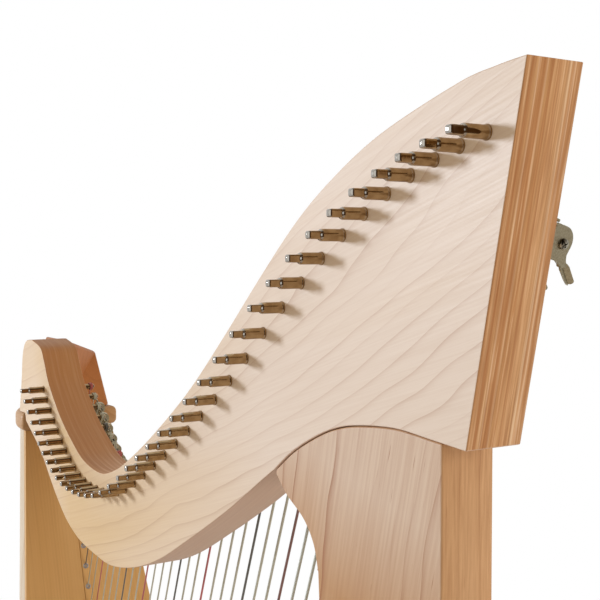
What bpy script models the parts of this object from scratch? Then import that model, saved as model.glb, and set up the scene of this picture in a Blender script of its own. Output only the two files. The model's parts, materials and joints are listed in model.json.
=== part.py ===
"""Lever harp with 38 strings, standing on its feet.

Frame: +Z up, -Y the pillar's side, +Y the player's side, X = 0 the plane of the strings.
The tuning pins stand out towards -X, the sharping levers towards +X.
Outlines are (y, z) points in millimetres, y from the pillar's front face, z from the floor.
"""

import math

import bmesh
import bpy
from mathutils import Matrix, Vector

MM = 0.001

# Strings: number 1 is the shortest, number 38 the longest
string_count = 38
string_lean = math.radians(20.6)
bass_string_u = 430.0 * MM
treble_spacing = 12.75 * MM
bass_spacing = 16.85 * MM
treble_string_radius = 0.45 * MM
bass_string_radius = 1.25 * MM

# Clearances
seat_gap = 0.3 * MM
bore_clearance = 0.4 * MM

# Neck: a laminated core between two maple faces
neck_thick = 38.0 * MM
face_thick = 1.8 * MM
string_standoff = 14.0 * MM

# Tuning pins
bass_pin_count = 19
bass_pin_out = 29.0 * MM
treble_pin_out = 26.0 * MM
bass_pin_radius = 3.7 * MM
treble_pin_radius = 2.8 * MM
pin_shank_share = 0.84
pin_tip_share = 0.42
pin_square_share = 0.62
pin_overrun = 2.0 * MM
pin_link_thick = 1.0 * MM
pin_link_half = 1.5 * MM
link_slot_margin = 1.2 * MM

# Bridge pins, lever brackets and levers; a treble lever is smaller than a bass one
bridge_pin_drop = 14.0 * MM
bridge_pin_radius = 1.0 * MM
bridge_pin_overrun = 2.0 * MM
lever_extra_drop = 8.5 * MM
lever_drop_share = 0.027
treble_lever_scale = 0.72
pivot_height = 16.5 * MM
lever_offset = 9.5 * MM
lever_thick = 2.4 * MM
lever_turn = math.radians(65)
pivot_radius = 1.2 * MM
pivot_head_radius = 3.1 * MM
pivot_head_high = 1.4 * MM
stud_half = 0.9 * MM
stud_overreach = 1.4 * MM
bracket_thick = 1.8 * MM

# Pillar
pillar_inset = 0.8 * MM
pillar_bolt_y = 60.0 * MM
pillar_bolt_radius = 5.0 * MM
pillar_bolt_grip = 75.0 * MM
bolt_head_radius = 9.0 * MM
bolt_head_high = 7.0 * MM
dowel_y = 60.0 * MM
dowel_radius = 7.0 * MM
dowel_half = 32.0 * MM

# Base and feet
foot_high = 44.0 * MM
foot_radius = 22.0 * MM
foot_taper = 4.0 * MM
base_thick = 34.0 * MM
base_margin = 14.0 * MM
toe_front_y = -26.0 * MM
toe_half_width = 84.0 * MM
front_foot_y = 20.0 * MM
front_foot_x = 50.0 * MM
rear_foot_inset_y = 85.0 * MM
rear_foot_inset_x = 55.0 * MM

# Soundbox: the soundboard leans back from its foot, and the shell stands behind it
board_lean = math.radians(17.5)
board_foot_y = 385.4 * MM
board_thick = 5.0 * MM
foot_half_width = 155.0 * MM
top_half_width = 49.5 * MM
foot_depth = 200.0 * MM
top_depth = 64.0 * MM
shell_wall = 8.0 * MM
stave_count = 11
cap_bottom_z = 1061.0 * MM
cap_thick = 20.0 * MM
cap_lip = 5.0 * MM
cap_rounding = 6.0 * MM
rib_width = 8.0 * MM
rib_deep = 10.0 * MM
brace_high = 12.0 * MM
brace_wide = 20.0 * MM
brace_levels = (0.36, 0.70)
sound_holes = ((0.16, 50.0), (0.36, 46.0), (0.56, 38.0), (0.76, 28.0))

# Head block beside the neck's treble end
block_front = 688.0 * MM
block_deep = 46.0 * MM
block_top_z = 1160.0 * MM
block_side_drop = 19.0 * MM
block_top_forward = 20.0 * MM
block_rounding = 3.0 * MM

# The outlines are drawn for a bass string this far across
OUTLINES_BASS_U = 430
NECK_TOP = [(-61, 1345), (-40, 1343), (-10, 1338), (55, 1318.5), (103.5, 1296),
            (144, 1271), (190, 1234.5), (241, 1191.5), (299, 1145.5), (365.5, 1102),
            (415, 1074), (444, 1061), (476, 1053.5), (518, 1058.5), (549.5, 1073),
            (575.5, 1088.5), (597, 1106), (614, 1123), (626, 1142), (637, 1155.5),
            (664, 1162)]
NECK_BACK = [(664, 1162), (684, 1159), (695, 1145), (700, 1116), (707, 1084)]
NECK_HEEL = [(707, 1081.3), (688.8, 1081.3), (686.3, 1073.5)]
NECK_BOTTOM = [(686.3, 1073.5), (670, 1065), (653, 1056), (631, 1041.5), (609, 1023),
               (587.5, 1006.5), (562.5, 991), (530, 980), (487.5, 975), (450, 974.5),
               (400, 985.5), (350.5, 1004.5), (292.5, 1037), (231, 1075.5), (203.5, 1092.5),
               (170, 1108.5)]
NECK_ARC = [(170, 1108.5), (148.5, 1123.5), (124.5, 1136), (102, 1145), (78, 1150.5),
            (41, 1154), (9, 1152.3), (-19.7, 1150.3)]
PILLAR_EDGE = [(118, 1041), (119.5, 1055), (124.5, 1070), (136, 1083), (156, 1094.5),
               (169, 1106)]
PILLAR_FOOT = [(156, 0), (136, 26), (116, 80), (103, 200), (98, 420), (103, 680), (112, 860),
               (118, 1041)]
# A bass lever at rest, from its pivot: x out from the neck, y up the string
LEVER_DISC_CENTRE = (-2.9, 0.6)
LEVER_DISC_RADIUS = 9.9
LEVER_TAIL_SIDE_ARC = (-25, 80)
LEVER_NECK_SIDE_ARC = (125, 265)
LEVER_NOSE = [(-4.7, 14.9), (-8.3, 13.3)]
LEVER_TAIL = [(-1.0, -10.1), (2.4, -13.4), (4.3, -17.0), (7.0, -21.1), (10.3, -24.4),
              (13.2, -24.5), (14.1, -22.1), (8.4, -13.6), (5.6, -9.3)]
# Its bracket, beside it, without the two corners on the neck
BRACKET_HEAD = [(-6.0, -8.5), (0.0, -4.5), (4.0, -4.0), (4.0, 4.0), (-4.5, 4.0), (-4.5, -2.2)]
PIN_ROW = [(-40, 1312.8), (25, 1294.4), (90.8, 1262.6), (158, 1218), (229.3, 1163),
           (295.4, 1118), (354.7, 1082.5), (411.8, 1052), (450, 1040.5), (490, 1037.5),
           (526.7, 1042.5), (561.9, 1058.8), (593.4, 1082), (632, 1117)]

# What follows from the sizes above
string_shift = (bass_string_u - OUTLINES_BASS_U * MM) / math.cos(string_lean)


def with_strings(points, start=None, end=None):
    """Outline points moved along with the strings, from none at y = start to all of it at end."""
    if start is None:
        return [(y + string_shift / MM, z) for y, z in points]
    shares = [min(max((y - start) / (end - start), 0), 1) for y, z in points]
    return [(y + share * string_shift / MM, z) for share, (y, z) in zip(shares, points)]


NECK_TOP, NECK_BACK, NECK_HEEL, PIN_ROW = map(with_strings, (NECK_TOP, NECK_BACK, NECK_HEEL, PIN_ROW))
NECK_BOTTOM = with_strings(NECK_BOTTOM, NECK_BOTTOM[-1][0], NECK_BOTTOM[8][0])
NECK_ARC[-1] = (NECK_ARC[-1][0] + min(string_shift / MM, 0), NECK_ARC[-1][1])
board_front_y = board_foot_y + string_shift
neck_far_x = -string_standoff
neck_near_x = neck_far_x - neck_thick
base_bottom_z = foot_high
base_top_z = base_bottom_z + base_thick
cap_top_z = cap_bottom_z + cap_thick
along_string = Vector((0, -math.sin(string_lean), math.cos(string_lean)))
across_strings = Vector((0, math.cos(string_lean), math.sin(string_lean)))


def board_y(z):
    """The soundboard's front surface at height z, from the pillar's front face."""
    return board_front_y + (z - base_top_z) * math.tan(board_lean)


def climb(z):
    return (z - base_top_z) / (cap_bottom_z - base_top_z)


def half_width(z):
    return foot_half_width + (top_half_width - foot_half_width) * climb(z)


def depth(z):
    return foot_depth + (top_depth - foot_depth) * climb(z)


board_run = board_thick / math.cos(board_lean)
shell_shift = board_run + seat_gap
rear_y = board_y(cap_bottom_z) + shell_shift + top_depth + cap_lip
middle_y = (NECK_TOP[0][0] * MM + rear_y) / 2


def place(x, y, z):
    """A point of the model's frame, whose origin is under the middle of the harp."""
    return Vector((x, y - middle_y, z))


def smooth(points, steps):
    """Points in millimetres along a Catmull-Rom curve through the given ones."""
    ends = [points[0]] + list(points) + [points[-1]]
    found = []
    for a, b, c, d in zip(ends, ends[1:], ends[2:], ends[3:]):
        for step in range(steps):
            t = step / steps
            found.append(tuple(
                0.5 * (2 * q + (r - p) * t + (2 * p - 5 * q + 4 * r - s) * t * t
                       + (3 * q - p - 3 * r + s) * t ** 3)
                for p, q, r, s in zip(a, b, c, d)))
    found.append(points[-1])
    return found


def in_metres(points):
    return [(y * MM - middle_y, z * MM) for y, z in points]


def new_collection(name):
    made = bpy.data.collections.new(name)
    bpy.context.scene.collection.children.link(made)
    return made


def clear_scene():
    for thing in list(bpy.data.objects):
        bpy.data.objects.remove(thing, do_unlink=True)


def material(name, colour, roughness, metallic=0.0):
    made = bpy.data.materials.new(name)
    made.use_nodes = True
    shader = made.node_tree.nodes["Principled BSDF"]
    shader.inputs["Base Color"].default_value = (*colour, 1)
    shader.inputs["Roughness"].default_value = roughness
    shader.inputs["Metallic"].default_value = metallic
    return made


clear_scene()
parts = new_collection("lever_harp")
cutters = new_collection("lever_harp_cutters")

maple = material("maple", (0.76, 0.60, 0.42), 0.45)
neck_ply = material("laminated_neck_edge", (0.48, 0.25, 0.12), 0.5)
spruce = material("soundboard_spruce", (0.40, 0.22, 0.09), 0.55)
dark_wood = material("inner_timber", (0.45, 0.28, 0.15), 0.6)
pin_steel = material("nickel_plated_pins", (0.55, 0.50, 0.44), 0.2, 1.0)
lever_metal = material("lever_nickel", (0.36, 0.32, 0.25), 0.4, 1.0)
string_material = material("string_nylon", (0.55, 0.55, 0.50), 0.35)
rubber = material("rubber_foot", (0.03, 0.03, 0.03), 0.7)
bolt_steel = material("zinc_bolt", (0.5, 0.5, 0.5), 0.35, 1.0)


def add_object(name, mesh, matrix=None, look=None, helper=False):
    made = bpy.data.objects.new(name, mesh)
    (cutters if helper else parts).objects.link(made)
    if matrix is not None:
        made.matrix_world = matrix
    if look is not None:
        mesh.materials.clear()
        mesh.materials.append(look)
    if helper:
        made.hide_render = True
        made.display_type = "WIRE"
    return made


def baked(source):
    """A mesh of the object as evaluated, with its loose caps welded, and the object removed."""
    bpy.context.view_layer.update()
    graph = bpy.context.evaluated_depsgraph_get()
    mesh = bpy.data.meshes.new_from_object(source.evaluated_get(graph))
    shape = bmesh.new()
    shape.from_mesh(mesh)
    bmesh.ops.remove_doubles(shape, verts=shape.verts, dist=0.00001)
    shape.to_mesh(mesh)
    shape.free()
    bpy.data.objects.remove(source, do_unlink=True)
    return mesh


def slab_mesh(name, outlines, thick):
    """A flat plate of the outlines, which lie in the local XY plane; inner ones are holes."""
    curve = bpy.data.curves.new(name, "CURVE")
    curve.dimensions = "2D"
    curve.fill_mode = "BOTH"
    curve.extrude = thick / 2
    for outline in outlines:
        spline = curve.splines.new("POLY")
        spline.points.add(len(outline) - 1)
        for point, (x, y) in zip(spline.points, outline):
            point.co = (x, y, 0, 1)
        spline.use_cyclic_u = True
    holder = bpy.data.objects.new(name, curve)
    parts.objects.link(holder)
    mesh = baked(holder)
    mesh.name = name
    return mesh


def side_on(x):
    """Turns a plate's local X and Y into the model's Y and Z, at this x."""
    turn = Matrix(((0, 0, 1, 0), (1, 0, 0, 0), (0, 1, 0, 0), (0, 0, 0, 1)))
    return Matrix.Translation((x, 0, 0)) @ turn


def ring(centre, radius, sides):
    y, z = centre
    return [(y + radius * math.cos(math.tau * i / sides), z + radius * math.sin(math.tau * i / sides))
            for i in range(sides)]


def bore(centre, radius):
    """A six-sided hole that a round pin of this radius just fits."""
    return ring(centre, radius / math.cos(math.pi / 6), 6)


def rod(shape, start, end, radius, sides):
    along = end - start
    turn = along.to_track_quat("Z", "Y").to_matrix().to_4x4()
    bmesh.ops.create_cone(shape, cap_ends=True, segments=sides, radius1=radius, radius2=radius,
                          depth=along.length,
                          matrix=Matrix.Translation((start + end) / 2) @ turn)


def box(shape, centre, size, turn=None):
    matrix = Matrix.Translation(centre)
    if turn is not None:
        matrix = matrix @ turn
    bmesh.ops.create_cube(shape, size=1, matrix=matrix @ Matrix.Diagonal((*size, 1)))


def to_mesh(shape, name):
    mesh = bpy.data.meshes.new(name)
    shape.to_mesh(mesh)
    shape.free()
    return mesh


def combine(target, other, operation):
    change = target.modifiers.new(operation.lower(), "BOOLEAN")
    change.operation = operation
    change.solver = "EXACT"
    change.object = other


def bevel(target, width, segments):
    change = target.modifiers.new("rounded_edges", "BEVEL")
    change.width = width
    change.segments = segments
    change.limit_method = "ANGLE"
    change.angle_limit = math.radians(35)
    target.data.shade_smooth()
    target.data.set_sharp_from_angle(angle=math.radians(35))


def loft(name, low, high):
    """A closed solid between two outlines of as many (x, y, z) points each."""
    shape = bmesh.new()
    bottom = [shape.verts.new(point) for point in low]
    top = [shape.verts.new(point) for point in high]
    shape.faces.new(list(reversed(bottom)))
    shape.faces.new(top)
    count = len(low)
    for i in range(count):
        j = (i + 1) % count
        shape.faces.new((bottom[i], bottom[j], top[j], top[i]))
    bmesh.ops.recalc_face_normals(shape, faces=shape.faces)
    return to_mesh(shape, name)


class String:
    """One string: where it is anchored, where its tuning pin stands and where its lever turns."""

    def __init__(self, number, u, share):
        self.number = number
        self.radius = treble_string_radius + (bass_string_radius - treble_string_radius) * share
        self.is_bass = number > string_count - bass_pin_count
        self.pin_radius = bass_pin_radius if self.is_bass else treble_pin_radius
        self.shank_radius = self.pin_radius * pin_shank_share
        self.pin = row_crossing(u)
        self.top = self.pin + across_strings * (self.shank_radius + seat_gap + self.radius)
        self.foot = board_crossing(self.top)
        self.length = (self.top - self.foot).length
        self.bridge = self.top - along_string * bridge_pin_drop
        lever_drop = bridge_pin_drop + lever_extra_drop + lever_drop_share * self.length
        self.lever_scale = treble_lever_scale + (1 - treble_lever_scale) * share
        self.lever_offset = lever_offset * self.lever_scale
        self.pivot = self.top - along_string * lever_drop - across_strings * self.lever_offset
        self.pivot.x = pivot_height * self.lever_scale


def row_crossing(u):
    """Where the line of the string at distance u across the strings meets the row of pins."""
    row = [place(0, y * MM, z * MM) for y, z in smooth(PIN_ROW, 8)]
    reach = [point.dot(across_strings) + middle_y * across_strings.y for point in row]
    for a, b, ua, ub in zip(row, row[1:], reach, reach[1:]):
        if ua <= u <= ub:
            return a.lerp(b, (u - ua) / (ub - ua))
    end = 0 if u < reach[0] else -1
    return row[end] + across_strings * (u - reach[end])


def board_crossing(point):
    """Where a string through this point meets the soundboard's front surface."""
    slope = math.tan(board_lean)
    gap = point.y + middle_y - board_y(point.z)
    run = gap / (along_string.y - slope * along_string.z)
    return point - along_string * run


def all_strings():
    steps = string_count - 1
    u = bass_string_u
    found = []
    for index in range(string_count):
        share = 1 - index / steps
        found.append(String(string_count - index, u, share))
        u += treble_spacing + (bass_spacing - treble_spacing) * share
    return found


strings = all_strings()


def neck_outline():
    joined = smooth(NECK_TOP, 3) + smooth(NECK_BACK, 2)[1:] + NECK_HEEL
    joined += smooth(NECK_BOTTOM, 3)[1:] + smooth(NECK_ARC, 3)[1:]
    return in_metres(joined)


def neck_pin_bores():
    return [bore((string.pin.y, string.pin.z), string.shank_radius + bore_clearance)
            for string in strings]


def strip(half, overrun):
    """A band of this half width along the row of tuning pins, in y and z."""
    row = [Vector((string.pin.y, string.pin.z)) for string in strings]
    row[0] = row[0] + (row[0] - row[1]).normalized() * overrun
    row[-1] = row[-1] + (row[-1] - row[-2]).normalized() * overrun
    ends = [row[0]] + row + [row[-1]]
    left, right = [], []
    for before, point, after in zip(ends, ends[1:], ends[2:]):
        along = (after - before).normalized()
        side = Vector((-along.y, along.x)) * half
        left.append(tuple(point + side))
        right.append(tuple(point - side))
    return left + list(reversed(right))


def dowel_rod(name, radius, half_long):
    shape = bmesh.new()
    top = arc_z(dowel_y / MM) * MM
    x = neck_far_x - neck_thick / 2
    start = place(x, dowel_y, top - half_long)
    rod(shape, start, place(x, dowel_y, top + half_long), radius, 12)
    return to_mesh(shape, name)


def arc_z(y):
    """The height in millimetres of the neck's underside over the pillar."""
    arc = smooth(NECK_ARC, 3)
    for (y0, z0), (y1, z1) in zip(arc, arc[1:]):
        if y1 <= y <= y0:
            return z0 + (z1 - z0) * (y - y0) / (y1 - y0)
    return arc[-1][1]


def make_neck():
    bores = neck_pin_bores()
    core_near_x = neck_near_x + face_thick + seat_gap
    core_far_x = neck_far_x - face_thick - seat_gap
    floor_x = core_near_x + pin_link_thick + 2 * seat_gap
    slot_half = bass_pin_radius * pin_shank_share + bore_clearance + link_slot_margin
    core = add_object("neck_core", slab_mesh("neck_core", [neck_outline()] + bores,
                                             core_far_x - floor_x),
                      side_on((core_far_x + floor_x) / 2), neck_ply)
    slotted = slab_mesh("slotted_layer", [neck_outline(), strip(slot_half, slot_half)],
                        floor_x - core_near_x)
    combine(core, add_object("slotted_layer", slotted, side_on((core_near_x + floor_x) / 2),
                             helper=True), "UNION")
    socket = add_object("dowel_socket_in_neck",
                        dowel_rod("dowel_socket_in_neck", dowel_radius + bore_clearance,
                                  dowel_half + bore_clearance * 2), helper=True)
    combine(core, socket, "DIFFERENCE")
    add_object("neck_face_pin_side", slab_mesh("neck_face_pin_side", [neck_outline()] + bores,
                                               face_thick),
               side_on(neck_near_x + face_thick / 2), maple)
    face = add_object("neck_face_string_side",
                      slab_mesh("neck_face_string_side", [neck_outline()] + bores, face_thick),
                      side_on(neck_far_x - face_thick / 2), maple)
    for name, shape in (("lever_brackets", bracket_plates()), ("lever_pivots", pivot_pins()),
                        ("pivot_heads", pivot_heads()), ("bridge_pins", bridge_pins())):
        combine(face, add_object(name, to_mesh(shape, name), helper=True), "UNION")
    return core


def lever_frame():
    """Local X out from the neck, local Y up the string, local Z along the lever's axis."""
    axis = -across_strings
    columns = (Vector((1, 0, 0)), along_string, axis)
    return Matrix([[column[row] for column in columns] for row in range(3)]).to_4x4()


def lever_place(string):
    return Matrix.Translation(string.pivot) @ lever_frame()


def scaled(points, scale):
    return [(x * MM * scale, y * MM * scale) for x, y in points]


def bracket_plates():
    """Upright ears on the neck, one on the string's side of every lever."""
    shape = bmesh.new()
    for string in strings:
        head = scaled(BRACKET_HEAD, string.lever_scale)
        foot = neck_far_x - face_thick / 2 - string.pivot.x
        outline = [(foot, head[-1][1]), (foot, head[0][1])] + head
        middle = -(lever_thick / 2 + seat_gap + bracket_thick / 2)
        plate = slab_mesh("bracket_plate", [outline], bracket_thick)
        plate.transform(lever_place(string) @ Matrix.Translation((0, 0, middle)))
        shape.from_mesh(plate)
    return shape


def pivot_pins():
    """The pins that the levers turn on, from the bracket into their heads."""
    shape = bmesh.new()
    for string in strings:
        inner = lever_thick / 2 + seat_gap
        start = string.pivot + across_strings * (inner + bracket_thick / 2)
        end = string.pivot - across_strings * (inner + pivot_head_high / 2)
        rod(shape, start, end, pivot_radius, 6)
    return shape


def pivot_heads():
    shape = bmesh.new()
    for string in strings:
        start = string.pivot - across_strings * (lever_thick / 2 + seat_gap)
        rod(shape, start, start - across_strings * pivot_head_high,
            pivot_head_radius * string.lever_scale, 6)
    return shape


def bridge_pins():
    shape = bmesh.new()
    for string in strings:
        beside = string.bridge + across_strings * (string.radius + seat_gap + bridge_pin_radius)
        start = Vector((neck_far_x - face_thick / 2, beside.y, beside.z))
        rod(shape, start, Vector((bridge_pin_overrun, beside.y, beside.z)), bridge_pin_radius, 4)
    return shape


def pin_mesh(radius, out):
    """One tuning pin along local Z: shank through the neck, body outside it and square tip."""
    shank = radius * pin_shank_share
    tip_half = radius * pin_square_share
    body_end = out * (1 - pin_tip_share)
    inner = neck_thick + string_standoff + pin_overrun
    chamfer_end = body_end + radius * 0.4
    profile = [(0, chamfer_end), (tip_half, chamfer_end), (radius, body_end), (radius, seat_gap),
               (shank, seat_gap), (shank, -inner), (0, -inner)]
    mesh = bpy.data.meshes.new("pin_profile")
    mesh.from_pydata([(r, 0, z) for r, z in profile],
                     [(i, i + 1) for i in range(len(profile) - 1)], [])
    body = add_object("pin_body", mesh)
    turn = body.modifiers.new("turned", "SCREW")
    turn.axis = "Z"
    turn.steps = 6
    turn.render_steps = 6
    turn.use_merge_vertices = True
    turn.merge_threshold = 0.00001
    turn.use_normal_calculate = True
    shape = bmesh.new()
    start = body_end - 1 * MM
    box(shape, Vector((0, 0, (start + out) / 2)), (2 * tip_half, 2 * tip_half, out - start))
    tip = add_object("pin_tip", to_mesh(shape, "pin_tip"), helper=True)
    combine(body, tip, "UNION")
    made = baked(body)
    bpy.data.objects.remove(tip, do_unlink=True)
    return made


def pin_link():
    """A thin strip, let into the core, that holds the tuning pins in one body."""
    middle = neck_near_x + face_thick + 2 * seat_gap + pin_link_thick / 2
    plate = slab_mesh("pin_link", [strip(pin_link_half, 0)], pin_link_thick)
    return add_object("pin_link", plate, side_on(middle), helper=True)


def make_tuning_pins():
    sizes = {True: pin_mesh(bass_pin_radius, bass_pin_out),
             False: pin_mesh(treble_pin_radius, treble_pin_out)}
    outward = Matrix(((0, 0, -1, 0), (0, 1, 0, 0), (1, 0, 0, 0), (0, 0, 0, 1)))
    shape = bmesh.new()
    for string in strings:
        copy = sizes[string.is_bass].copy()
        at = Matrix.Translation((neck_near_x, string.pin.y, string.pin.z))
        copy.transform(at @ outward)
        shape.from_mesh(copy)
    pins = add_object("tuning_pins", to_mesh(shape, "tuning_pins"), look=pin_steel)
    combine(pins, pin_link(), "UNION")


def lever_outline(scale):
    """The disc with its nose and its folded tail, with the pivot at the origin."""
    def arc(first, last, steps):
        x, y = LEVER_DISC_CENTRE
        turns = [math.radians(first + (last - first) * i / steps) for i in range(steps + 1)]
        return [(x + LEVER_DISC_RADIUS * math.cos(t), y + LEVER_DISC_RADIUS * math.sin(t))
                for t in turns]
    return scaled(arc(*LEVER_TAIL_SIDE_ARC, 3) + LEVER_NOSE + arc(*LEVER_NECK_SIDE_ARC, 4)
                  + LEVER_TAIL, scale)


def lever_mesh(string):
    hole = bore((0, 0), pivot_radius + seat_gap)
    plate = slab_mesh("lever", [lever_outline(string.lever_scale), hole], lever_thick)
    holder = add_object("lever_blank", plate)
    shape = bmesh.new()
    stud_turn = math.pi - lever_turn
    reach = string.pivot.x - string.radius - seat_gap - stud_half
    far = string.lever_offset + stud_overreach
    near = lever_thick / 2 - 0.6 * MM
    centre = Vector((reach * math.cos(stud_turn), reach * math.sin(stud_turn), -(near + far) / 2))
    box(shape, centre, (2 * stud_half, 2 * stud_half, far - near),
        Matrix.Rotation(stud_turn, 4, "Z"))
    stud = add_object("lever_stud", to_mesh(shape, "lever_stud"), helper=True)
    combine(holder, stud, "UNION")
    mesh = baked(holder)
    bpy.data.objects.remove(stud, do_unlink=True)
    return mesh


def make_levers():
    for string in strings:
        add_object(f"lever_{string.number:02d}", lever_mesh(string), lever_place(string),
                   lever_metal)


def make_strings():
    shape = bmesh.new()
    for string in strings:
        sunk = string.foot - along_string * (rib_deep / 2)
        rod(shape, sunk, string.top, string.radius, 5)
    node = add_object("strings", to_mesh(shape, "strings"), look=string_material)
    low, high = base_top_z + seat_gap, cap_bottom_z - seat_gap
    deep = rib_deep / math.cos(board_lean)
    half = rib_width / 2
    rib = loft("string_rib", rectangle(-half, half, low, 0, deep),
               rectangle(-half, half, high, 0, deep))
    combine(node, add_object("string_rib", rib, helper=True), "UNION")


def rectangle(left, right, z, front, back):
    """Four corners at height z, from front to back behind the soundboard's front surface."""
    y = board_y(z)
    return [place(left, y + front, z), place(right, y + front, z),
            place(right, y + back, z), place(left, y + back, z)]


def make_soundboard():
    low, high = base_top_z + seat_gap, cap_bottom_z - seat_gap
    inner = rib_width / 2 + seat_gap
    for name, side in (("soundboard_left", -1), ("soundboard_right", 1)):
        corners = []
        for z in (low, high):
            ends = sorted((side * inner, side * half_width(z)))
            corners.append(rectangle(*ends, z, 0, board_run))
        add_object(name, loft(name, *corners), look=spruce)


def bowl(z, inset, front):
    """The shell's outline at height z, inset from its outer face, closed by a front line."""
    wide, deep = half_width(z) - inset, depth(z) - inset
    start = board_y(z) + shell_shift
    arc = [place(wide * math.cos(math.pi * i / stave_count),
                 start + deep * math.sin(math.pi * i / stave_count), z)
           for i in range(stave_count + 1)]
    if front == 0:
        return arc
    return arc + [place(-wide, start - front, z), place(wide, start - front, z)]


def sound_hole_cutter():
    shape = bmesh.new()
    for share, radius in sound_holes:
        z = base_top_z + share * (cap_bottom_z - base_top_z)
        back = board_y(z) + shell_shift + depth(z)
        rod(shape, place(0, back - 4 * shell_wall, z), place(0, back + 4 * shell_wall, z),
            radius * MM, 16)
    return add_object("sound_hole_cutter", to_mesh(shape, "sound_hole_cutter"), helper=True)


def make_shell():
    low, high = base_top_z + seat_gap, cap_bottom_z - seat_gap
    shell = add_object("soundbox_shell", loft("soundbox_shell", bowl(low, 0, 0), bowl(high, 0, 0)),
                       look=maple)
    past = 5 * MM
    hollow = loft("shell_hollow", bowl(low - past, shell_wall, past),
                  bowl(high + past, shell_wall, past))
    combine(shell, add_object("shell_hollow", hollow, helper=True), "DIFFERENCE")
    combine(shell, sound_hole_cutter(), "DIFFERENCE")


def brace_section(z):
    outer = bowl(z, shell_wall + seat_gap, 0)
    inner = bowl(z, shell_wall + seat_gap + brace_wide, 0)
    return outer + list(reversed(inner))


def make_braces():
    for name, share in zip(("brace_lower", "brace_upper"), brace_levels):
        z = base_top_z + (share + 0.1) * (cap_bottom_z - base_top_z)
        add_object(name, loft(name, brace_section(z), brace_section(z + brace_high)),
                   look=dark_wood)


def make_cap():
    z = cap_bottom_z
    wide, deep = half_width(z) + cap_lip, depth(z) + cap_lip
    start = board_y(z) + shell_shift
    arc = [(wide * math.cos(math.pi * i / 16), start + deep * math.sin(math.pi * i / 16) - middle_y)
           for i in range(17)]
    front = board_y(z) - cap_lip - middle_y
    outline = arc + [(-wide, front), (wide, front)]
    cap = add_object("soundbox_cap", slab_mesh("soundbox_cap", [outline], cap_thick),
                     Matrix.Translation((0, 0, z + cap_thick / 2)), maple)
    bevel(cap, cap_rounding, 2)


def make_head_block():
    near = neck_far_x + seat_gap
    low, high = cap_top_z + seat_gap, block_top_z
    front = block_front + string_shift
    back = front + block_deep
    side_top = high - block_side_drop
    outer_low, outer_high = half_width(low), half_width(side_top)
    bottom = [place(near, front, low), place(outer_low, board_y(cap_bottom_z), low),
              place(outer_low, back, low), place(near, back, low)]
    top = [place(near, front - block_top_forward, high),
           place(outer_high, board_y(side_top), side_top),
           place(outer_high, back, side_top), place(near, back, high)]
    block = add_object("head_block", loft("head_block", bottom, top), look=maple)
    bevel(block, block_rounding, 2)


def make_pillar():
    foot = [(y, z + base_top_z / MM + seat_gap / MM) for y, z in PILLAR_FOOT[:-1]]
    edge = smooth(foot + [PILLAR_FOOT[-1]] + PILLAR_EDGE[1:], 3)
    last = PILLAR_EDGE[-1][0] - 0.5
    head = [(last, arc_z(last))]
    head += [point for point in smooth(NECK_ARC, 3) if 1 < point[0] < last - 1.5]
    head = [(y, z - seat_gap / MM) for y, z in head + [(0, arc_z(0))]]
    outline = in_metres([(0, foot[0][1])] + edge + head)
    middle = neck_far_x - neck_thick / 2
    pillar = add_object("pillar", slab_mesh("pillar", [outline], neck_thick - 2 * pillar_inset),
                        side_on(middle), maple)
    socket = add_object("dowel_socket_in_pillar",
                        dowel_rod("dowel_socket_in_pillar", dowel_radius + bore_clearance,
                                  dowel_half + bore_clearance * 2), helper=True)
    combine(pillar, socket, "DIFFERENCE")
    shape = bmesh.new()
    rod(shape, place(middle, pillar_bolt_y, base_bottom_z),
        place(middle, pillar_bolt_y, base_top_z + pillar_bolt_grip + bore_clearance * 2),
        pillar_bolt_radius + bore_clearance, 12)
    combine(pillar, add_object("bolt_socket", to_mesh(shape, "bolt_socket"), helper=True),
            "DIFFERENCE")
    add_object("neck_dowel", dowel_rod("neck_dowel", dowel_radius, dowel_half), look=dark_wood)


def make_pillar_bolt():
    x = neck_far_x - neck_thick / 2
    head_low = base_bottom_z + 2 * MM
    shape = bmesh.new()
    rod(shape, place(x, pillar_bolt_y, head_low + bolt_head_high / 2),
        place(x, pillar_bolt_y, base_top_z + pillar_bolt_grip), pillar_bolt_radius, 12)
    bolt = add_object("pillar_bolt", to_mesh(shape, "pillar_bolt"), look=bolt_steel)
    shape = bmesh.new()
    rod(shape, place(x, pillar_bolt_y, head_low), place(x, pillar_bolt_y, head_low + bolt_head_high),
        bolt_head_radius, 6)
    combine(bolt, add_object("bolt_head", to_mesh(shape, "bolt_head"), helper=True), "UNION")


def base_outline():
    """Round behind the soundbox, narrowing to a toe under the pillar; x, y in metres."""
    wide = foot_half_width + base_margin
    start = board_front_y + shell_shift
    deep = foot_depth + base_margin
    arc = [(wide * math.cos(math.pi * i / 20), start + deep * math.sin(math.pi * i / 20) - middle_y)
           for i in range(21)]
    waist_y = board_front_y * 0.55
    waist = toe_half_width + (wide - toe_half_width) * 0.45
    front = toe_front_y + 16 * MM
    left = [(-waist, waist_y - middle_y), (-toe_half_width, front - middle_y),
            (-toe_half_width * 0.8, toe_front_y - middle_y)]
    right = [(-x, y) for x, y in reversed(left)]
    return arc + left + right


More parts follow.
